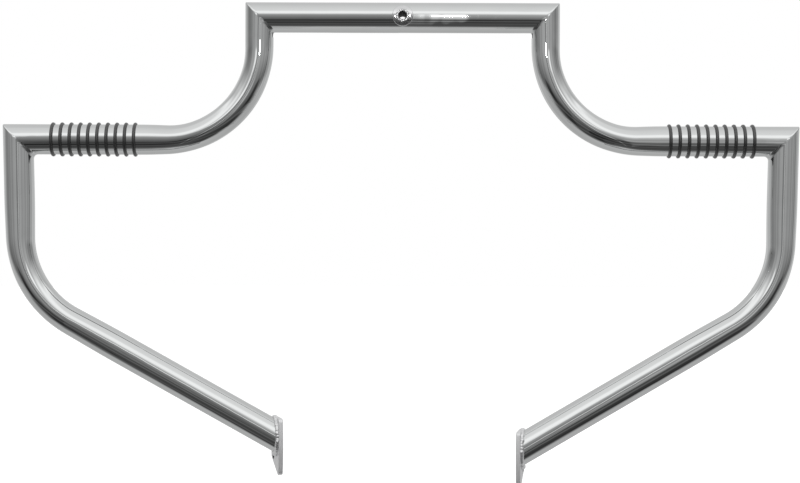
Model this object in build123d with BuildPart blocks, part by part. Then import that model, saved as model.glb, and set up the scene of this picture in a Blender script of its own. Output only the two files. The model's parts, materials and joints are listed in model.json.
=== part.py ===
from build123d import *
import os
from collections import namedtuple
from math import cos, radians, sin, sqrt, tan

# Welded engine guard for a motorcycle, made from one size of steel tube.
# Millimetres. The guard lies in the XZ plane, +X to the right as seen from the front, +Z up,
# and its front faces -Y.
# The origin is the middle of the bolt sleeve, on the centre line of the top crossbar.

os.makedirs("parts", exist_ok=True)

# Tube stock
tube_diameter = 31.75
tube_wall = 3.05

# Top crossbar and its bolt sleeve
crossbar_half_span = 150.8  # bolt sleeve to an upright's centre line
sleeve_diameter = 14.0
sleeve_bore = 8.4
sleeve_tilt = 3.5  # degrees the bolt axis rises towards the front
sleeve_proud = 1.4  # how far each end stands out of the tube's crown
sleeve_chamfer = 0.7
sleeve_weld_width = 4.0
sleeve_weld_height = 1.3
sleeve_weld_edge_radius = 1.0

# Shoulders: upright, quarter bend, level run
shoulder_drop = 129.2  # crossbar centre line down to the run's centre line
shoulder_bend_radius = 97.8
corner_half_span = 403.3  # middle of the lower frame to the run's mitred corner
lower_frame_shift = -1.2  # middle of the lower frame from the sleeve, along X

# Grip rings on the runs, counted from the corner inwards and spread evenly between the margins
ring_count = 10
ring_section = 3.53
ring_proud = 2.1
left_ring_margin = 37.0  # outermost ring from the mitred corner
right_ring_margin = 33.5
ring_bend_margin = 32.4  # innermost ring from the end of the bend
groove_side_clearance = 0.1

# Legs: the upright leans inwards, then the tube bends towards the frame
leg_lean = 1.5  # degrees off the plumb line
leg_bend_radius = 105.0
left_leg_drop = 162.0  # run's centre line down to the point where upright and slope would meet
right_leg_drop = 165.5
left_leg_slope = 29.15  # degrees below the level
right_leg_slope = 30.45  # degrees

# Bolt plates, each welded on the end of a leg and turned a little to the front
left_plate_span = 131.5  # middle of the lower frame to the plate's outer face, on the leg's centre line
right_plate_span = 128.7
left_plate_turn = 13.8  # degrees
right_plate_turn = 9.0  # degrees
plate_thickness = 4.8
plate_front = 21.2  # leg's centre line to the middle of the bowed front edge
plate_front_bow = 2.5
plate_rear = 24.0  # leg's centre line to the rear edge
plate_rise = 19.4  # leg's centre line up to the top edge
plate_heel_drop = 24.5  # leg's centre line down to the rear end of the slanted foot
plate_toe_drop = 42.0  # leg's centre line down to its front end
plate_corner_radius = 5.0
plate_edge_chamfer = 0.6
plate_bolt_hole = 11.0
plate_bolt_back = 11.5  # bolt hole behind the leg's centre line
plate_bolt_drop = 20.0  # bolt hole below it

# Welds
mitre_weld_leg = 5.5
mitre_weld_side_gap = 0.5  # a fillet stops this far short of the tube's front and back
plate_weld_leg = 3.7  # at the sides of the tube and below it
plate_weld_top_leg = 0.8  # above the tube, where the plate's rim is close
plate_weld_bite = 0.3  # how far the fillet's thin end runs in under the tube before it is trimmed
bolt_head_room = 16.0  # diameter round a plate's bolt hole that stays free of weld

# Worked out from the sizes above
tube_radius = tube_diameter / 2
tube_bore = tube_radius - tube_wall
overrun = 2 * tube_diameter  # spare length that a mitre or end cut takes away
ring_radius = tube_radius + ring_proud - ring_section / 2
groove_floor = ring_radius - ring_section / 2
groove_width = ring_section + 2 * groove_side_clearance
bolt_axis = Vector(0, -cos(radians(sleeve_tilt)), sin(radians(sleeve_tilt)))
down = Vector(0, 0, -1)

Side = namedtuple("Side", "name sign ring_margin leg_drop leg_slope plate_span plate_turn")
sides = (
    Side("left", -1, left_ring_margin, left_leg_drop, left_leg_slope, left_plate_span, left_plate_turn),
    Side("right", 1, right_ring_margin, right_leg_drop, right_leg_slope, right_plate_span, right_plate_turn),
)


def outward(side):
    return Vector(side.sign, 0, 0)


def top_corner(side):
    return Vector(side.sign * crossbar_half_span, 0, 0)


def outer_corner(side):
    return Vector(side.sign * corner_half_span + lower_frame_shift, 0, -shoulder_drop)


def leg_upright(side):
    lean = radians(leg_lean)
    return Vector(-side.sign * sin(lean), 0, -cos(lean))


def leg_slope(side):
    slope = radians(side.leg_slope)
    return Vector(-side.sign * cos(slope), 0, -sin(slope))


def leg_elbow(side):
    return outer_corner(side) + leg_upright(side) * side.leg_drop


def plate_face(side):
    """The plate's outer face: x towards its front or back edge, y up, z out along the leg."""
    elbow = leg_elbow(side)
    face_x = side.sign * side.plate_span + lower_frame_shift
    reach = abs(elbow.X - face_x)
    origin = Vector(face_x, 0, elbow.Z - reach * tan(radians(side.leg_slope)))
    turn = radians(side.plate_turn)
    normal = Vector(side.sign * cos(turn), -sin(turn), 0)
    return Plane(origin=origin, x_dir=Vector(0, 0, 1).cross(normal), z_dir=normal)


def plate_point(side, back, rise):
    """A place on the plate's outer face, measured back and up from the leg's centre line."""
    return (side.sign * back, rise)


def mitre(corner, incoming, outgoing):
    """The cut halfway round a mitred corner: x points to its inner side, z the way the tube goes on."""
    return Plane(origin=corner, x_dir=outgoing - incoming, z_dir=incoming + outgoing)


def top_mitre(side):
    return mitre(top_corner(side), outward(side), down)


def corner_mitre(side):
    return mitre(outer_corner(side), outward(side), leg_upright(side))


def ring_places(side):
    """Where the grip rings sit along the level run, from the corner inwards."""
    first = outer_corner(side).X - side.sign * side.ring_margin
    last = side.sign * (crossbar_half_span + shoulder_bend_radius + ring_bend_margin)
    pitch = (last - first) / (ring_count - 1)
    return [
        Plane(origin=(first + i * pitch, 0, -shoulder_drop), z_dir=outward(side))
        for i in range(ring_count)
    ]


def save(piece, name):
    piece.part.label = name
    export_step(piece.part, f"parts/{name}.step")


# Top crossbar: straight tube, mitred at both ends, bored right through for the sleeve
with BuildPart() as top_crossbar:
    with BuildSketch(Plane.YZ):
        Circle(tube_radius)
        Circle(tube_bore, mode=Mode.SUBTRACT)
    extrude(amount=crossbar_half_span + overrun, both=True)
    for side in sides:
        split(bisect_by=top_mitre(side), keep=Keep.BOTTOM)
    with Locations(Plane(origin=(0, 0, 0), z_dir=bolt_axis)):
        Cylinder(sleeve_diameter / 2, tube_diameter + overrun, mode=Mode.SUBTRACT)
save(top_crossbar, "top_crossbar")

# Bolt sleeve: a turned bush with its bore and rims eased
with BuildPart() as centre_bolt_sleeve:
    with Locations(Plane(origin=(0, 0, 0), z_dir=bolt_axis)):
        Cylinder(sleeve_diameter / 2, tube_diameter + 2 * sleeve_proud)
        Cylinder(sleeve_bore / 2, tube_diameter + 2 * sleeve_proud, mode=Mode.SUBTRACT)
    chamfer(edges().filter_by(GeomType.CIRCLE), sleeve_chamfer)
save(centre_bolt_sleeve, "centre_bolt_sleeve")

# Welds round the sleeve's two ends: raised collars that follow the round of the tube
for place, direction in (("front", bolt_axis), ("rear", -bolt_axis)):
    with BuildPart() as sleeve_weld:
        with Locations(Plane(origin=(0, 0, 0), z_dir=direction)):
            Cylinder(
                sleeve_diameter / 2 + sleeve_weld_width,
                tube_diameter,
                align=(Align.CENTER, Align.CENTER, Align.MIN),
            )
        with Locations(Plane.YZ):
            Cylinder(tube_radius + sleeve_weld_height, tube_diameter, mode=Mode.INTERSECT)
            Cylinder(tube_radius, tube_diameter, mode=Mode.SUBTRACT)
        with Locations(Plane(origin=(0, 0, 0), z_dir=direction)):
            Cylinder(sleeve_diameter / 2, tube_diameter + overrun, mode=Mode.SUBTRACT)
        outer_edges = sleeve_weld.edges().sort_by(SortBy.LENGTH)[-2:]
        fillet(outer_edges.sort_by(Axis((0, 0, 0), direction))[-1], sleeve_weld_edge_radius)
    save(sleeve_weld, f"sleeve_weld_{place}")

for side in sides:
    # Shoulder: one bent tube with a groove turned for each grip ring
    with BuildPart() as shoulder:
        with BuildLine():
            FilletPolyline(
                top_corner(side) - down * overrun,
                Vector(side.sign * crossbar_half_span, 0, -shoulder_drop),
                outer_corner(side) + outward(side) * overrun,
                radius=shoulder_bend_radius,
            )
        with BuildSketch(Plane(origin=top_corner(side) - down * overrun, z_dir=down)):
            Circle(tube_radius)
            Circle(tube_bore, mode=Mode.SUBTRACT)
        sweep()
        split(bisect_by=top_mitre(side), keep=Keep.TOP)
        split(bisect_by=corner_mitre(side), keep=Keep.BOTTOM)
        with BuildSketch(*ring_places(side)):
            Circle(tube_diameter)
            Circle(groove_floor, mode=Mode.SUBTRACT)
        extrude(amount=groove_width / 2, both=True, mode=Mode.SUBTRACT)
    save(shoulder, f"{side.name}_shoulder")

    # Grip rings: rubber O-rings stretched into the grooves
    for number, place in enumerate(ring_places(side), start=1):
        with BuildPart() as grip_ring:
            with Locations(place):
                Torus(ring_radius, ring_section / 2)
        save(grip_ring, f"{side.name}_grip_ring_{number:02d}")

    # Leg: upright, bend and slope, mitred at the corner and cut to the plate's face
    face = plate_face(side)
    leg_start = outer_corner(side) - leg_upright(side) * overrun
    with BuildPart() as leg:
        with BuildLine():
            FilletPolyline(
                leg_start,
                leg_elbow(side),
                face.origin + leg_slope(side) * overrun,
                radius=leg_bend_radius,
            )
        with BuildSketch(Plane(origin=leg_start, z_dir=leg_upright(side))):
            Circle(tube_radius)
            Circle(tube_bore, mode=Mode.SUBTRACT)
        sweep()
        split(bisect_by=corner_mitre(side), keep=Keep.TOP)
        split(bisect_by=face, keep=Keep.TOP)
    save(leg, f"{side.name}_leg")

    # Bolt plate: flat tab with a bowed front edge, a slanted foot and one bolt hole behind and below the leg
    toe = plate_point(side, plate_front_bow - plate_front, -plate_toe_drop)
    front_middle = plate_point(side, -plate_front, (plate_rise - plate_toe_drop) / 2)
    front_top = plate_point(side, plate_front_bow - plate_front, plate_rise)
    rear_top = plate_point(side, plate_rear, plate_rise)
    heel = plate_point(side, plate_rear, -plate_heel_drop)
    bolt_place = plate_point(side, plate_bolt_back, -plate_bolt_drop)
    with BuildPart() as mount_plate:
        with BuildSketch(face):
            with BuildLine():
                ThreePointArc(toe, front_middle, front_top)
                Polyline(front_top, rear_top, heel, toe)
            make_face()
            fillet(vertices(), plate_corner_radius)
            with Locations(bolt_place):
                Circle(plate_bolt_hole / 2, mode=Mode.SUBTRACT)
        extrude(amount=-plate_thickness)
        broad_faces = faces().sort_by(Axis(face.origin, face.z_dir))
        chamfer(
            broad_faces[0].outer_wire().edges() + broad_faces[-1].outer_wire().edges(),
            plate_edge_chamfer,
        )
    save(mount_plate, f"{side.name}_mount_plate")

    # Weld between leg and plate: a fillet round the slanted end of the tube, cut back round the bolt hole
    # and dressed level with the plate's top
    steepness = abs(leg_slope(side).dot(face.z_dir))
    weld_plane = Plane(
        origin=face.origin,
        x_dir=leg_slope(side) + face.z_dir * steepness,
        z_dir=face.z_dir,
    )
    weld_top = Plane(
        origin=face.origin - leg_slope(side) * (plate_weld_leg / steepness),
        x_dir=weld_plane.x_dir,
        z_dir=weld_plane.z_dir,
    )
    with BuildPart() as plate_weld:
        with BuildSketch(weld_plane):
            with Locations(((plate_weld_leg - plate_weld_top_leg) / 2, 0)):
                Ellipse(
                    tube_radius / steepness + (plate_weld_leg + plate_weld_top_leg) / 2,
                    tube_radius + plate_weld_leg,
                )
        with BuildSketch(weld_top):
            Ellipse(tube_radius / steepness - plate_weld_bite, tube_radius - plate_weld_bite)
        loft()
        with Locations(Plane(origin=face.origin, z_dir=leg_slope(side))):
            Cylinder(tube_radius, 2 * overrun, mode=Mode.SUBTRACT)
        with BuildSketch(face):
            with Locations(bolt_place):
                Circle(bolt_head_room / 2)
        extrude(amount=plate_weld_leg, mode=Mode.SUBTRACT)
        with BuildSketch(Plane(origin=face.origin + Vector(0, 0, plate_rise), z_dir=(0, 0, 1))):
            Rectangle(2 * overrun, 2 * overrun)
        extrude(amount=plate_weld_leg, mode=Mode.SUBTRACT)
    save(plate_weld, f"{side.name}_plate_weld")

    # Fillet welds inside the two mitred corners
    for corner_name, plane, incoming, outgoing in (
        ("top", top_mitre(side), outward(side), down),
        ("corner", corner_mitre(side), outward(side), leg_upright(side)),
    ):
        half_angle_sine = sqrt((1 + incoming.dot(outgoing)) / 2)
        half_angle_cosine = sqrt((1 - incoming.dot(outgoing)) / 2)
        inner_reach = tube_radius / half_angle_cosine + mitre_weld_leg * half_angle_sine
        with BuildPart() as mitre_weld:
            with BuildSketch(plane):
                Ellipse(inner_reach, tube_radius - mitre_weld_side_gap)
                Rectangle(
                    inner_reach,
                    tube_diameter,
                    align=(Align.MAX, Align.CENTER),
                    mode=Mode.SUBTRACT,
                )
            extrude(amount=mitre_weld_leg, both=True)
            for direction in (incoming, outgoing):
                with Locations(Plane(origin=plane.origin, z_dir=direction)):
                    Cylinder(tube_radius, 2 * overrun, mode=Mode.SUBTRACT)
        save(mitre_weld, f"{side.name}_{corner_name}_mitre_weld")
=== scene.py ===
"""Looks of a chromed motorcycle engine guard: plated tube, dressed welds, rubber grip rings."""
import json
import random
from math import cos, pi, radians, sin, tan

import bpy
from mathutils import Matrix, Vector


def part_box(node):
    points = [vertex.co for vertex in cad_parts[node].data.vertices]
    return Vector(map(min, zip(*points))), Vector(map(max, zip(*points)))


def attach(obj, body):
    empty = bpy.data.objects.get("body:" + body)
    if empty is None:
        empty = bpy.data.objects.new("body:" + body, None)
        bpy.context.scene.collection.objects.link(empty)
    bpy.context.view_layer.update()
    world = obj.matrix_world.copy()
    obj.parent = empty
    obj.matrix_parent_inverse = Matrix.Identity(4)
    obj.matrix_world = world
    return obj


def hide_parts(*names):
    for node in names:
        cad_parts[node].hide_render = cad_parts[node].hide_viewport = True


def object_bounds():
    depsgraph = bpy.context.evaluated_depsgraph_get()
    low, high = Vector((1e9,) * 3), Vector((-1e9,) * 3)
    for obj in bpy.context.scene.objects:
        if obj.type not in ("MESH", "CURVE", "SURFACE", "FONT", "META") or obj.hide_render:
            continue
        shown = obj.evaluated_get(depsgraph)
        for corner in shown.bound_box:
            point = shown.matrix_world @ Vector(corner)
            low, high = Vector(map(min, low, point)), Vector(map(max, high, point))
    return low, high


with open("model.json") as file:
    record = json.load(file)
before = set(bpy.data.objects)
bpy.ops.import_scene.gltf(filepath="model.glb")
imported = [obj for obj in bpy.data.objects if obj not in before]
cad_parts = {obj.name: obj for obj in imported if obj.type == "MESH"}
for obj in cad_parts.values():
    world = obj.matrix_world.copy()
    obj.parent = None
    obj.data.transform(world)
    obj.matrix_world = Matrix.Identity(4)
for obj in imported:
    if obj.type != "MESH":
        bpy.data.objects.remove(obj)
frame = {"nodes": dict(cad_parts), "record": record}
cad_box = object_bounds()
nodes = frame["nodes"]


# Tubes: one size of steel tube, cut to five lengths. The crossbar is straight, and each shoulder and
# leg is bent cold round a former, which leaves its section a little oval there. Grooves are turned in
# the foot runs, the mitred ends are welded and ground, and the whole is polished and chrome plated.

# Spans, drops and bends are those of the tubes' centre lines, as in the CAD
tube_radius = 0.015875
crossbar_half_span = 0.1508
shoulder_drop = 0.1292
shoulder_bend = 0.0978
corner_half_span = 0.4033
lower_frame_shift = -0.0012
leg_lean = radians(1.5)
leg_bend = 0.105
leg_drops = {"left": 0.1620, "right": 0.1655}
leg_slopes = {"left": radians(29.15), "right": radians(30.45)}
plate_spans = {"left": 0.1315, "right": 0.1287}
plate_turns = {"left": radians(13.8), "right": radians(9.0)}
sleeve_tilt = radians(3.5)

# How much narrower the bends are, and over what lengths they become so
upright_flat = 0.0010
shoulder_flat = 0.0014
shoulder_eases = (0.010, 0.030, 0.027)
leg_flat = 0.0012
leg_eases = (0.045, 0.030, 0.060)
flat_spread = 0.7

overrun = 0.06
round_steps = 96
bend_steps = 48
ease_steps = 8
hole_margin = 0.016
drill_depth = 6 * tube_radius
end_facing = 0.5
groove_clearance = 0.0001
seam_leg = 0.0012
fillet_leg = 0.0047
seam_steps = 6
crease_angle = radians(40)
merge_reach = 0.000002
rounding = 1e-9

side_signs = {"left": -1, "right": 1}
leg_ends = {}
down = Vector((0, 0, -1))
still = Vector((0, 0, 0))


class Signal:
    """A node's output that can be used in sums: each operation adds a Math node to its tree."""

    def __init__(self, tree, output):
        self.tree = tree
        self.output = output

    def node(self, kind, settings, inputs, output=0):
        """Adds any other node: its type, its settings, then the values or links of its sockets."""
        made = self.tree.nodes.new(kind)
        for name, value in settings.items():
            if name == "stops":
                lay_stops(made.color_ramp, value)
            else:
                setattr(made, name, value)
        for name, value in inputs.items():
            if isinstance(value, Signal):
                self.tree.links.new(value.output, made.inputs[name])
            else:
                made.inputs[name].default_value = value
        return Signal(self.tree, made.outputs[output])

    def math(self, operation, first, second=0.0):
        return self.node("ShaderNodeMath", {"operation": operation}, {0: first, 1: second})

    def __add__(self, other):
        return self.math("ADD", self, other)

    def __sub__(self, other):
        return self.math("SUBTRACT", self, other)

    def __rsub__(self, other):
        return self.math("SUBTRACT", other, self)

    def __mul__(self, other):
        return self.math("MULTIPLY", self, other)

    def __truediv__(self, other):
        return self.math("DIVIDE", self, other)

    __radd__ = __add__
    __rmul__ = __mul__


def lay_stops(ramp, stops):
    """Sets a new colour ramp to grey stops, each a position and a brightness."""
    for number, (position, grey) in enumerate(stops):
        stop = ramp.elements[number] if number < 2 else ramp.elements.new(position)
        stop.position = position
        stop.color = (grey, grey, grey, 1.0)


def start_material(name):
    """A new material, its shader node and its Object coordinates."""
    material = bpy.data.materials.new(name)
    material.use_nodes = True
    tree = material.node_tree
    shader = tree.nodes["Principled BSDF"]
    coordinates = tree.nodes.new("ShaderNodeTexCoord")
    return material, shader, Signal(tree, coordinates.outputs["Object"])


def noise(place, scale, detail):
    return place.node("ShaderNodeTexNoise", {}, {"Vector": place, "Scale": scale, "Detail": detail})


def between(factor, first, second):
    """A colour that goes from the first to the second as the factor rises."""
    ends = {"Factor": factor, "A": first, "B": second}
    return factor.node("ShaderNodeMix", {"data_type": "RGBA"}, ends, output="Result")


def raised(height, depth, strength=1.0):
    """The fine relief of a finish, from its height."""
    return height.node("ShaderNodeBump", {}, {"Strength": strength, "Distance": depth, "Height": height})


def feed(shader, socket, signal):
    signal.tree.links.new(signal.output, shader.inputs[socket])


def plated_chrome():
    chrome_pale = (0.624, 0.634, 0.633, 1.0)
    chrome_deep = (0.580, 0.590, 0.589, 1.0)
    cloud_scale = 38.0
    wipe_scale = 160.0
    polish_scale = 40.0
    polish_depth = 0.00016
    least_haze = 0.01
    wipe_haze = 0.035
    material, shader, place = start_material("plated_chrome")
    shader.inputs["Metallic"].default_value = 1.0
    cloud = noise(place, cloud_scale, detail=3.0)
    wipe = noise(place, wipe_scale, detail=4.0)
    polish = noise(place, polish_scale, detail=1.0)
    feed(shader, "Base Color", between(cloud, chrome_deep, chrome_pale))
    feed(shader, "Roughness", least_haze + wipe_haze * wipe)
    feed(shader, "Normal", raised(polish, polish_depth))
    return material


def pick(*pieces):
    """Selects these pieces alone, and makes the first of them active."""
    bpy.ops.object.select_all(action="DESELECT")
    for piece in pieces:
        piece.select_set(True)
    bpy.context.view_layer.objects.active = pieces[0]


def start_ring(name, centre, heading):
    """Adds the open end that a tube is drawn out from."""
    bpy.ops.object.select_all(action="DESELECT")
    bpy.ops.mesh.primitive_circle_add(
        vertices=round_steps,
        radius=tube_radius,
        location=centre,
        rotation=heading.to_track_quat("Z", "Y").to_euler(),
    )
    tube = bpy.context.object
    tube.name = name
    bpy.ops.object.transform_apply(location=True, rotation=True)
    tube.data.materials.append(bpy.data.materials.new(name))
    bpy.ops.object.mode_set(mode="EDIT")
    bpy.ops.mesh.select_all(action="SELECT")
    return tube


def draw_out(step):
    bpy.ops.mesh.extrude_region_move(TRANSFORM_OT_translate={"value": step})


def squeeze(centre, heading, narrow, deepen):
    """Makes the tube's open end narrower across the bend and deeper from front to back."""
    bpy.ops.transform.resize(
        value=(narrow, deepen, 1.0),
        orient_type="GLOBAL",
        orient_matrix=(heading.cross((0, 1, 0)), (0, 1, 0), heading),
        orient_matrix_type="GLOBAL",
        center_override=centre,
    )


def turn_groove(place, heading, width, floor):
    """Steps the end of a level tube down to a groove's floor, along it and up again."""
    for centre, ratio, length in (
        (place - heading * width / 2, floor / tube_radius, width),
        (place + heading * width / 2, tube_radius / floor, 0.0),
    ):
        draw_out(still)
        bpy.ops.transform.resize(value=(1.0, ratio, ratio), center_override=centre)
        if length:
            draw_out(heading * length)


def eased(share):
    """Rises from 0 to 1 with a soft start and a soft end."""
    share = min(max(share, 0.0), 1.0)
    return share * share * (3 - 2 * share)


def bent_tube(name, start, elbow, finish, radius, flats, eases, grooves=()):
    """Draws a tube out straight, bends it round the former and draws it out again.

    flats: how much narrower the section is before the bend and in the middle of it.
    eases: over what lengths it changes before the bend, inside each end of it and after it.
    """
    first = (elbow - start).normalized()
    second = (finish - elbow).normalized()
    turn = first.angle(second)
    into = elbow - first * radius * tan(turn / 2)
    former = into + (second - first * first.dot(second)).normalized() * radius
    axis = second.cross(first)
    arc = radius * turn
    before, inside, after = eases

    def section(place):
        # Half width and half depth of the tube at a distance from the start of the bend
        entering = eased((place + before) / (before + inside))
        leaving = eased((arc + after - place) / (after + inside))
        flat = (flats[0] + (flats[1] - flats[0]) * entering) * leaving
        return tube_radius - flat, tube_radius + flat_spread * flats[1] * entering * leaving

    tube = start_ring(name, start, first)
    squeeze(start, first, 1.0 - flats[0] / tube_radius, 1.0)
    draw_out(into - first * before - start)
    steps = [-before + before * (step + 1) / ease_steps for step in range(ease_steps)]
    steps += [arc * (step + 1) / bend_steps for step in range(bend_steps)]
    steps += [arc + after * (step + 1) / ease_steps for step in range(ease_steps)]
    last = -before
    for place in steps:
        if place <= 0.0:
            heading = first
            centre = into + first * place
            draw_out(first * (place - last))
        elif place <= arc + rounding:
            bent = Matrix.Rotation(-place / radius, 3, axis)
            heading = bent @ first
            centre = former + bent @ (into - former)
            bpy.ops.mesh.spin(steps=1, angle=turn / bend_steps, center=former, axis=axis)
        else:
            heading = second
            centre = former + Matrix.Rotation(-turn, 3, axis) @ (into - former) + second * (place - arc)
            draw_out(second * (place - last))
        was, now = section(last), section(place)
        squeeze(centre, heading, now[0] / was[0], now[1] / was[1])
        last = place
    reached = centre
    for place, width, floor in grooves:
        draw_out(place - second * width / 2 - reached)
        turn_groove(place, second, width, floor)
        reached = place + second * width / 2
    draw_out(finish - reached)
    return tube


def cut_off(point, beyond, fill=False):
    """Saws off what lies past a plane."""
    bpy.ops.mesh.select_all(action="SELECT")
    bpy.ops.mesh.bisect(plane_co=point, plane_no=beyond, clear_outer=True, use_fill=fill)


def top_cut(outward):
    """Which way the top corner's mitre faces, so that round bar and oval upright meet all round."""
    return outward * tube_radius + down * (tube_radius - upright_flat)


def drill_for_sleeve(bar):
    low_corner, high_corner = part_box("centre_bolt_sleeve")
    bpy.ops.mesh.primitive_cylinder_add(
        vertices=round_steps,
        radius=(high_corner.x - low_corner.x) / 2,
        depth=drill_depth,
        rotation=(pi / 2 - sleeve_tilt, 0, 0),
    )
    drill = bpy.context.object
    pick(bar)
    hole = bar.modifiers.new("sleeve_hole", "BOOLEAN")
    hole.object = drill
    hole.solver = "EXACT"
    bpy.ops.object.modifier_apply(modifier=hole.name)
    bpy.data.objects.remove(drill)


def open_ends(bar):
    """Takes away the flat faces that closed the bar's ends for the drilling."""
    bpy.ops.object.mode_set(mode="EDIT")
    bpy.ops.mesh.select_mode(type="FACE")
    bpy.ops.mesh.select_all(action="DESELECT")
    bpy.ops.object.mode_set(mode="OBJECT")
    for face in bar.data.polygons:
        face.select = abs(face.normal.x) > end_facing and abs(face.center.x) > crossbar_half_span / 2
    bpy.ops.object.mode_set(mode="EDIT")
    bpy.ops.mesh.delete(type="FACE")
    bpy.ops.mesh.select_mode(type="VERT")
    bpy.ops.object.mode_set(mode="OBJECT")


def crossbar():
    half_length = crossbar_half_span + overrun
    along = Vector((1, 0, 0))
    bar = start_ring("top_crossbar_tube", -half_length * along, along)
    for length in (half_length - hole_margin, 2 * hole_margin, half_length - hole_margin):
        draw_out(along * length)
    for sign in side_signs.values():
        outward = along * sign
        cut_off(outward * crossbar_half_span, top_cut(outward), fill=True)
    bpy.ops.mesh.select_all(action="SELECT")
    bpy.ops.mesh.normals_make_consistent(inside=False)
    bpy.ops.object.mode_set(mode="OBJECT")
    drill_for_sleeve(bar)
    open_ends(bar)
    return bar


def ring_grooves(side):
    """The grooves of one foot run, from the bend outwards: place, width and floor of each."""
    grooves = []
    for name in sorted((n for n in nodes if n.startswith(f"{side}_grip_ring")), reverse=True):
        low_corner, high_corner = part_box(name)
        section = high_corner.x - low_corner.x
        floor = (high_corner.y - low_corner.y) / 2 - section
        grooves.append(((low_corner + high_corner) / 2, section + 2 * groove_clearance, floor))
    return grooves


def shoulder_and_leg(side):
    outward = Vector((side_signs[side], 0, 0))
    upright = down * cos(leg_lean) - outward * sin(leg_lean)
    slope = down * sin(leg_slopes[side]) - outward * cos(leg_slopes[side])
    top_corner = outward * crossbar_half_span
    elbow = top_corner + down * shoulder_drop
    shift = Vector((lower_frame_shift, 0, 0))
    corner = outward * corner_half_span + down * shoulder_drop + shift
    leg_elbow = corner + upright * leg_drops[side]
    leg_reach = abs(leg_elbow.x - shift.x) - plate_spans[side]
    leg_end = leg_elbow + slope * (leg_reach / cos(leg_slopes[side]))
    shoulder = bent_tube(
        f"{side}_shoulder_tube",
        top_corner - down * overrun,
        elbow,
        corner + outward * overrun,
        shoulder_bend,
        (upright_flat, shoulder_flat),
        shoulder_eases,
        ring_grooves(side),
    )
    cut_off(top_corner, -top_cut(outward))
    cut_off(corner, outward + upright)
    bpy.ops.object.mode_set(mode="OBJECT")
    leg = bent_tube(
        f"{side}_leg_tube",
        corner - upright * overrun,
        leg_elbow,
        leg_end + slope * overrun,
        leg_bend,
        (0.0, leg_flat),
        leg_eases,
    )
    cut_off(corner, -outward - upright)
    plate_out = outward * cos(plate_turns[side]) - Vector((0, sin(plate_turns[side]), 0))
    cut_off(leg_end, -plate_out)
    bpy.ops.object.mode_set(mode="OBJECT")
    leg_ends[side] = leg_end, slope, plate_out
    return shoulder, leg


def weigh_seams(mesh):
    """Says how wide each edge between two tubes is ground: widest on the inner side of the corner."""
    beside = {}
    for face in mesh.polygons:
        for edge in face.edge_keys:
            beside.setdefault(edge, []).append(face)
    weights = mesh.attributes.new("bevel_weight_edge", "FLOAT", "EDGE")
    for edge in mesh.edges:
        faces = beside[edge.key]
        if len({face.material_index for face in faces}) == 2:
            inside = faces[0].normal.dot(faces[1].center - faces[0].center) > 0
            middle_point = (mesh.vertices[edge.vertices[0]].co + mesh.vertices[edge.vertices[1]].co) / 2
            fullness = cos(middle_point.y / tube_radius * pi / 2) if inside else 0.0
            leg = seam_leg + (fillet_leg - seam_leg) * fullness
            weights.data[edge.index].value = leg / fillet_leg


def take_apart(piece, by):
    pick(piece)
    bpy.ops.object.mode_set(mode="EDIT")
    bpy.ops.mesh.select_all(action="SELECT")
    bpy.ops.mesh.separate(type=by)
    bpy.ops.object.mode_set(mode="OBJECT")
    return list(bpy.context.selected_objects)


def weld_and_grind(tubes):
    """Joins the tubes at their mitres, rounds the seams and takes tubes and seams apart again."""
    whole = tubes[0]
    pick(*tubes)
    bpy.ops.object.join()
    whole.name = "welded_tubes"
    bpy.ops.object.mode_set(mode="EDIT")
    bpy.ops.mesh.select_all(action="SELECT")
    bpy.ops.mesh.remove_doubles(threshold=merge_reach)
    bpy.ops.mesh.normals_make_consistent(inside=False)
    bpy.ops.object.mode_set(mode="OBJECT")
    mesh = whole.data
    mesh.materials.append(bpy.data.materials.new("mitre_weld"))
    weigh_seams(mesh)
    ground = whole.modifiers.new("ground_seams", "BEVEL")
    ground.limit_method = "WEIGHT"
    ground.width = fillet_leg
    ground.segments = seam_steps
    ground.material = len(mesh.materials) - 1
    ground.use_clamp_overlap = False
    bpy.ops.object.modifier_apply(modifier=ground.name)
    return take_apart(whole, "MATERIAL")


def finish_piece(piece, material):
    pick(piece)
    bpy.ops.object.shade_smooth_by_angle(angle=crease_angle)
    piece.data.materials.clear()
    piece.data.materials.append(material)


def settle(piece, slot, *replaced):
    """Fixes a piece to the guard, in place of the plain solids that it stands for."""
    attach(piece, "root")
    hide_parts(*replaced)


left_tubes = shoulder_and_leg("left")
right_tubes = shoulder_and_leg("right")
chrome = plated_chrome()
for piece in weld_and_grind([crossbar(), *left_tubes, *right_tubes]):
    made = piece.data.materials[0].name
    finish_piece(piece, chrome)
    if made == "mitre_weld":
        seams = take_apart(piece, "LOOSE")
    else:
        piece.name = made
        settle(piece, "chromed_steel", made.removesuffix("_tube"))
for seam in seams:
    reach = seam.data.vertices[0].co.x
    side = "left" if reach < 0 else "right"
    corner = "corner" if abs(reach) > (crossbar_half_span + corner_half_span) / 2 else "top"
    seam.name = f"{side}_{corner}_mitre_seam"
    settle(seam, "chromed_weld", f"{side}_{corner}_mitre_weld")


# Bolt sleeve: a turned steel bush pressed through the crossbar, with a lumpy fillet weld round each end.
# Rims and welds are plated with the guard; the bore takes no plating, and its near-black colour is painted
# shade.

bore_radius = 0.0042


def rise(value, start, finish, curve="LINEAR"):
    """Goes from 0 to 1 as a value goes from start to finish."""
    span = {"Value": value, "From Min": start, "From Max": finish}
    return value.node("ShaderNodeMapRange", {"interpolation_type": curve}, span)


def off_axis(place, axis):
    """How far a place lies from an axis through the origin."""
    across = place.node("ShaderNodeVectorMath", {"operation": "CROSS_PRODUCT"}, {0: place, 1: axis})
    return place.node("ShaderNodeVectorMath", {"operation": "LENGTH"}, {0: across}, output="Value")


def dress(material, *names):
    """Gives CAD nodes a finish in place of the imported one."""
    for name in names:
        for slot in nodes[name].material_slots:
            slot.material = material


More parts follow.
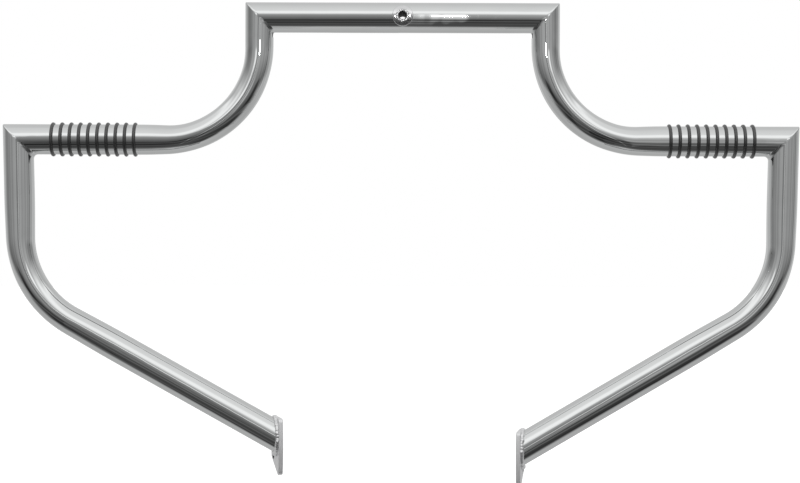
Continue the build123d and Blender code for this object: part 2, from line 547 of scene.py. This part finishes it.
def sleeve_steel():
    chrome_pale = (0.62, 0.622, 0.626, 1.0)
    painted_hole_shade = (0.012, 0.012, 0.013, 1.0)
    bare_shade_edge = bore_radius + 0.00005
    plated_edge = bore_radius + 0.0004
    bare_haze = 0.62
    plating_gloss = 0.5
    grain_scale = 600.0
    grain_haze = 0.08
    material, shader, place = start_material("sleeve_steel")
    radius = off_axis(place, (0.0, -cos(sleeve_tilt), sin(sleeve_tilt)))
    plated = rise(radius, bare_shade_edge, plated_edge)
    grain = noise(place, grain_scale, detail=3.0)
    # The bore is painted near-black as painted shade, and is left unplated; the rims and ends round it are
    # chrome
    feed(shader, "Base Color", between(plated, painted_hole_shade, chrome_pale))
    feed(shader, "Metallic", plated)
    feed(shader, "Roughness", bare_haze - plating_gloss * plated + grain_haze * grain)
    return material


def sleeve_fillet():
    chrome_pale = (0.66, 0.662, 0.666, 1.0)
    chrome_deep = (0.58, 0.583, 0.59, 1.0)
    lump_scale = 260.0
    lump_height = 0.0004
    least_haze = 0.04
    lump_haze = 0.06
    material, shader, place = start_material("sleeve_fillet")
    shader.inputs["Metallic"].default_value = 1.0
    lumps = noise(place, lump_scale, detail=2.0)
    feed(shader, "Base Color", between(lumps, chrome_deep, chrome_pale))
    feed(shader, "Roughness", least_haze + lump_haze * lumps)
    feed(shader, "Normal", raised(lumps, lump_height))
    return material


dress(sleeve_steel(), "centre_bolt_sleeve")
dress(sleeve_fillet(), "sleeve_weld_front", "sleeve_weld_rear")


# Bolt plates: tabs cut from flat bar, their edges eased with a file, bored for one bolt each and plated
# without much polishing, so that they mirror only softly. The plating stops at the bolt hole, whose wall
# is painted near-black as painted shade.


def plate_bolt(side):
    return next(mount for mount in frame["record"]["mounts"] if mount["name"] == f"{side}_plate_bolt")


def plate_chrome(side):
    chrome_pale = (0.74, 0.742, 0.746, 1.0)
    chrome_deep = (0.66, 0.663, 0.67, 1.0)
    painted_hole_shade = (0.014, 0.014, 0.015, 1.0)
    bolt = plate_bolt(side)
    hole_radius = bolt["dims"]["r_mm"] / 1000
    bare_shade_edge = hole_radius + 0.0001
    plated_edge = hole_radius + 0.0007
    plating_cover = 0.85
    cloud_scale = 120.0
    least_haze = 0.42
    cloud_haze = 0.12
    mark_scale = 900.0
    mark_depth = 0.0002
    mark_strength = 0.05
    material, shader, place = start_material(f"{side}_plate_chrome")
    offset = place.node("ShaderNodeVectorMath", {"operation": "SUBTRACT"}, {0: place, 1: bolt["pos_m"]})
    plated = rise(off_axis(offset, bolt["axis"]), bare_shade_edge, plated_edge)
    cloud = noise(place, cloud_scale, detail=4.0)
    marks = noise(place, mark_scale, detail=2.0)
    skin = between(cloud, chrome_deep, chrome_pale)
    # The bolt hole's wall is painted near-black as painted shade and left unplated; the plated skin lies
    # round it
    feed(shader, "Base Color", between(plated, painted_hole_shade, skin))
    feed(shader, "Metallic", plating_cover * plated)
    feed(shader, "Roughness", least_haze + cloud_haze * cloud)
    feed(shader, "Normal", raised(marks, mark_depth, mark_strength))
    return material


for side in side_signs:
    dress(plate_chrome(side), f"{side}_mount_plate")


# Plate welds: a run of overlapping beads laid by hand round each leg's slanted end, small beside the
# bolt hole so that the bolt's head seats, and plated over as it came from the torch.

bead_radius = 0.0030
bead_pitch = 0.0027
bead_wander = 0.18
bead_sizes = (0.85, 1.12)
bead_stretches = (0.9, 1.1)
bead_stand = 0.0004
bead_lift = 0.0005
small_bead = 0.45
bolt_room = 0.0105
slant_girth = 1.09
bead_voxel = 0.00028
melting_passes = 24


def dressed_weld():
    weld_pale = (0.82, 0.822, 0.825, 1.0)
    weld_deep = (0.70, 0.703, 0.71, 1.0)
    ripple_scale = 420.0
    ripple_height = 0.0004
    ripple_strength = 0.15
    least_haze = 0.30
    ripple_haze = 0.16
    material, shader, place = start_material("dressed_weld")
    shader.inputs["Metallic"].default_value = 1.0
    ripple = noise(place, ripple_scale, detail=3.0)
    feed(shader, "Base Color", between(ripple, weld_deep, weld_pale))
    feed(shader, "Roughness", least_haze + ripple_haze * ripple)
    feed(shader, "Normal", raised(ripple, ripple_height, ripple_strength))
    return material


def lay_beads(side):
    """Lays beads one by one round the joint of leg and plate, none quite like the next."""
    hand = random.Random(f"{side} weld")
    bolt_place = Vector(plate_bolt(side)["pos_m"])
    leg_end, slope, out = leg_ends[side]
    beside = slope.cross((0, 1, 0))
    count = round(2 * pi * tube_radius * slant_girth / bead_pitch)
    bpy.ops.object.select_all(action="DESELECT")
    bpy.ops.mesh.primitive_uv_sphere_add(segments=20, ring_count=12, radius=bead_radius)
    first_bead = bpy.context.object
    beads = []
    for number in range(count):
        angle = 2 * pi * (number + hand.uniform(-bead_wander, bead_wander)) / count
        around = beside * cos(angle) + Vector((0, 1, 0)) * sin(angle)
        skin = leg_end + around * tube_radius
        foot = skin - slope * ((skin - leg_end).dot(out) / slope.dot(out))
        size = hand.uniform(*bead_sizes)
        if (foot - bolt_place).length < bolt_room:
            size = small_bead
        pick(first_bead)
        bpy.ops.object.duplicate()
        bead = bpy.context.object
        bead.scale = (size * hand.uniform(*bead_stretches), size, size)
        bead.location = foot + around * bead_stand + out * hand.uniform(0.0, bead_lift)
        beads.append(bead)
    bpy.data.objects.remove(first_bead)
    return beads


def plate_bead(side, material):
    """Melts the beads of one joint into one run."""
    pick(*lay_beads(side))
    bpy.ops.object.join()
    bpy.ops.object.transform_apply(location=True, rotation=True, scale=True)
    run = bpy.context.object
    run.name = f"{side}_plate_bead"
    melted = run.modifiers.new("melted_beads", "REMESH")
    melted.mode = "VOXEL"
    melted.voxel_size = bead_voxel
    bpy.ops.object.modifier_apply(modifier=melted.name)
    even = run.modifiers.new("even_skin", "SMOOTH")
    even.iterations = melting_passes
    bpy.ops.object.modifier_apply(modifier=even.name)
    run.data.materials.append(material)
    bpy.ops.object.shade_smooth()
    settle(run, "chromed_weld", f"{side}_plate_weld")


weld_metal = dressed_weld()
for side in side_signs:
    plate_bead(side, weld_metal)


# Grip rings: O-rings moulded in black rubber, ten to a side, rolled along the foot runs until they snap
# into their grooves. The rubber keeps the mould's gloss, dulled here and there by bloom.


def grip_rubber():
    rubber_black = (0.006, 0.006, 0.006, 1.0)
    rubber_worn = (0.014, 0.014, 0.014, 1.0)
    mould_gloss = 1.0
    bloom_scale = 400.0
    least_haze = 0.26
    bloom_haze = 0.16
    material, shader, place = start_material("grip_rubber")
    shader.inputs["Specular IOR Level"].default_value = mould_gloss
    bloom = noise(place, bloom_scale, detail=5.0)
    feed(shader, "Base Color", between(bloom, rubber_black, rubber_worn))
    feed(shader, "Roughness", least_haze + bloom_haze * bloom)
    return material


dress(grip_rubber(), *[name for name in nodes if "grip_ring" in name])


# Studio: a pale floor under the guard, a soft lamp overhead and a room for the chrome to mirror.
# The room is light above, behind and straight below, and dark in front, as round a photographer.
# The camera alone sees plain white behind the guard.

low, high = cad_box
middle = (low + high) / 2
floor_gap = 0.75
floor_reach = 40.0
white = (1.0, 1.0, 1.0, 1.0)


def camera_rays(tree):
    path = tree.nodes.new("ShaderNodeLightPath")
    return Signal(tree, path.outputs["Is Camera Ray"])


def floor_paper():
    paper_grey = (0.82, 0.82, 0.82, 1.0)
    paper_glow = 0.45
    material, shader, place = start_material("floor_paper")
    shader.inputs["Base Color"].default_value = paper_grey
    shader.inputs["Roughness"].default_value = 0.9
    shader.inputs["Specular IOR Level"].default_value = 0.0
    shader.inputs["Emission Strength"].default_value = paper_glow
    feed(shader, "Emission Color", camera_rays(place.tree))
    return material


def studio_floor():
    bpy.ops.object.select_all(action="DESELECT")
    bpy.ops.mesh.primitive_circle_add(
        vertices=96, radius=floor_reach, fill_type="NGON", location=(middle.x, middle.y, low.z - floor_gap)
    )
    floor = bpy.context.object
    floor.name = "studio_floor"
    bpy.ops.object.transform_apply(location=True)
    floor.data.materials.append(floor_paper())
    floor.visible_glossy = False


def smooth(value, start, finish):
    return rise(value, start, finish, "SMOOTHSTEP")


def band(value, start, full, fade, finish):
    """Rises from start to full, and falls again from fade to finish."""
    return smooth(value, start, full) * smooth(value, finish, fade)


def panels(value, width, seed):
    """A row of panels, each of one brightness, between -0.5 and 0.5."""
    number = value.math("FLOOR", value / width) + seed
    return value.node("ShaderNodeTexWhiteNoise", {"noise_dimensions": "1D"}, {"W": number}) - 0.5


def by_height(elevation, stops):
    """Greys by degrees above the horizon, from -90 to 90."""
    placed = [((angle + 90) / 180, grey) for angle, grey in stops]
    return elevation.node("ShaderNodeValToRGB", {"stops": placed}, {"Fac": (elevation + 90) / 180})


def dimmed(colour, factor):
    return colour.node(
        "ShaderNodeMix",
        {"data_type": "RGBA", "blend_type": "MULTIPLY"},
        {"Factor": 1.0, "A": colour, "B": factor},
        output="Result",
    )


def mirrored_room(elevation, azimuth):
    """The room's light by direction, in degrees above the horizon and to the right of the camera."""
    # In front, from straight below: pale floor, dark ground, grey wall, a row of windows, pale ceiling
    front_stops = (
        (-90, 0.7), (-84, 0.57), (-74, 0.21), (-58, 0.065), (-20, 0.13),
        (2, 0.42), (18, 0.62), (30, 1.38), (42, 1.38), (50, 1.08), (90, 0.93),
    )
    # Behind, from straight below: pale floor, its shaded end, pale wall, pale ceiling
    rear_stops = ((-90, 0.7), (-36, 0.58), (4, 0.68), (60, 0.82), (90, 0.93))
    rear_floor_share = 0.62
    side_shade = 0.42
    post_contrast = 0.42
    slat_contrast = 0.30
    level_contrast = 0.9
    slant_contrast = 0.8
    bench_light = 0.8
    shelf_shade = 0.6
    window_light = 1.1
    screen_light = 2.2
    facing = azimuth.math("COSINE", azimuth * (pi / 180))
    floorward = smooth(elevation, -6.0, -24.0)
    front_share = smooth(facing - rear_floor_share * floorward, -0.7, 0.0)
    room = between(front_share, by_height(elevation, rear_stops), by_height(elevation, front_stops))

    # Side walls in shade, upright posts and slats along the walls, boards on the ground in front
    side_wall = smooth(facing.math("ABSOLUTE", facing), 0.8, 0.3) * band(elevation, 2.0, 10.0, 34.0, 44.0)
    wall_height = smooth(elevation.math("ABSOLUTE", elevation), 34.0, 8.0)
    posts = post_contrast * panels(azimuth, width=12.0, seed=5.0)
    slats = slat_contrast * panels(azimuth + 3.0, width=4.6, seed=40.0)
    level_boards = level_contrast * panels(elevation + 0.06 * azimuth, width=7.0, seed=70.0)
    slant_boards = slant_contrast * panels(azimuth - elevation, width=15.0, seed=90.0)
    walls = (1.0 - side_shade * side_wall) * (1.0 + wall_height * (posts + slats))
    ground = 1.0 + front_share * floorward * (level_boards + slant_boards)

    # A bench to the right, a dark shelf and a window on each side, and a lit screen beside the camera
    swing = azimuth.math("ABSOLUTE", azimuth)
    bench_end = smooth(elevation - 4.0 * azimuth, -88.0, -84.0)
    bench = smooth(azimuth, 6.5, 8.0) * bench_end * smooth(elevation, -1.0, -6.0)
    shelf = band(swing, 41.0, 44.0, 61.0, 66.0) * band(elevation, -30.0, -27.0, -15.0, -12.0)
    window = band(swing, 12.5, 14.0, 25.0, 28.0) * band(elevation, 9.0, 11.0, 17.0, 20.0)
    screen = band(azimuth, 0.2, 0.9, 1.5, 2.4) * band(elevation, -75.0, -20.0, 12.0, 26.0)
    dark_things = shelf_shade * shelf
    light_things = bench_light * bench + window_light * window + screen_light * screen
    return dimmed(room, walls * ground * (1.0 - dark_things + light_things))


def studio_world():
    world = bpy.data.worlds.new("studio_room")
    bpy.context.scene.world = world
    world.use_nodes = True
    tree = world.node_tree
    coordinates = tree.nodes.new("ShaderNodeTexCoord")
    split = tree.nodes.new("ShaderNodeSeparateXYZ")
    tree.links.new(coordinates.outputs["Generated"], split.inputs[0])
    x, y, z = (Signal(tree, split.outputs[axis]) for axis in "XYZ")
    elevation = z.math("ARCSINE", z) * (180 / pi)
    azimuth = x.math("ARCTAN2", x, 0.0 - y) * (180 / pi)
    shown = between(camera_rays(tree), mirrored_room(elevation, azimuth), white)
    feed(tree.nodes["Background"], "Color", shown)


def hang_lamp(name, shape, energy, place):
    lamp_data = bpy.data.lights.new(name, "AREA")
    lamp_data.shape = shape
    lamp_data.energy = energy
    lamp = bpy.data.objects.new(name, lamp_data)
    lamp.location = place
    bpy.context.scene.collection.objects.link(lamp)
    return lamp


studio_floor()
studio_world()

softbox = hang_lamp("softbox", "SQUARE", energy=60.0, place=(0.5, -1.4, 2.4))
softbox.data.size = 1.8
softbox.rotation_euler = (middle - softbox.location).to_track_quat("-Z", "Y").to_euler()
softbox.visible_glossy = False

# A small bare lamp above the camera, which the bar's middle and the heads of the shoulders mirror
bare_lamp = hang_lamp("bare_lamp", "ELLIPSE", energy=0.04, place=(0.075, -1.18, 0.160))
bare_lamp.data.size = 0.06
bare_lamp.data.size_y = 0.05
bare_lamp.data.spread = radians(44)
bare_lamp.rotation_euler = (pi / 2, 0.0, 0.0)


# Camera: level with the middle of the guard and close in front of it, as the photograph was taken,
# so that the grip rings bow outwards.

view_distance = 2.0
view_target = Vector((-0.0020, 0.0, -0.2356))
camera_roll = radians(0.187)
lens_length = 85.42
sensor_width = 36.0

lens_data = bpy.data.cameras.new("camera")
lens_data.sensor_width = sensor_width
lens_data.lens = lens_length
camera = bpy.data.objects.new("camera", lens_data)
camera.location = view_target - Vector((0.0, view_distance, 0.0))
camera.rotation_euler = (pi / 2, -camera_roll, 0.0)
bpy.context.scene.collection.objects.link(camera)
bpy.context.scene.camera = camera
bpy.context.scene.view_settings.view_transform = "Standard"
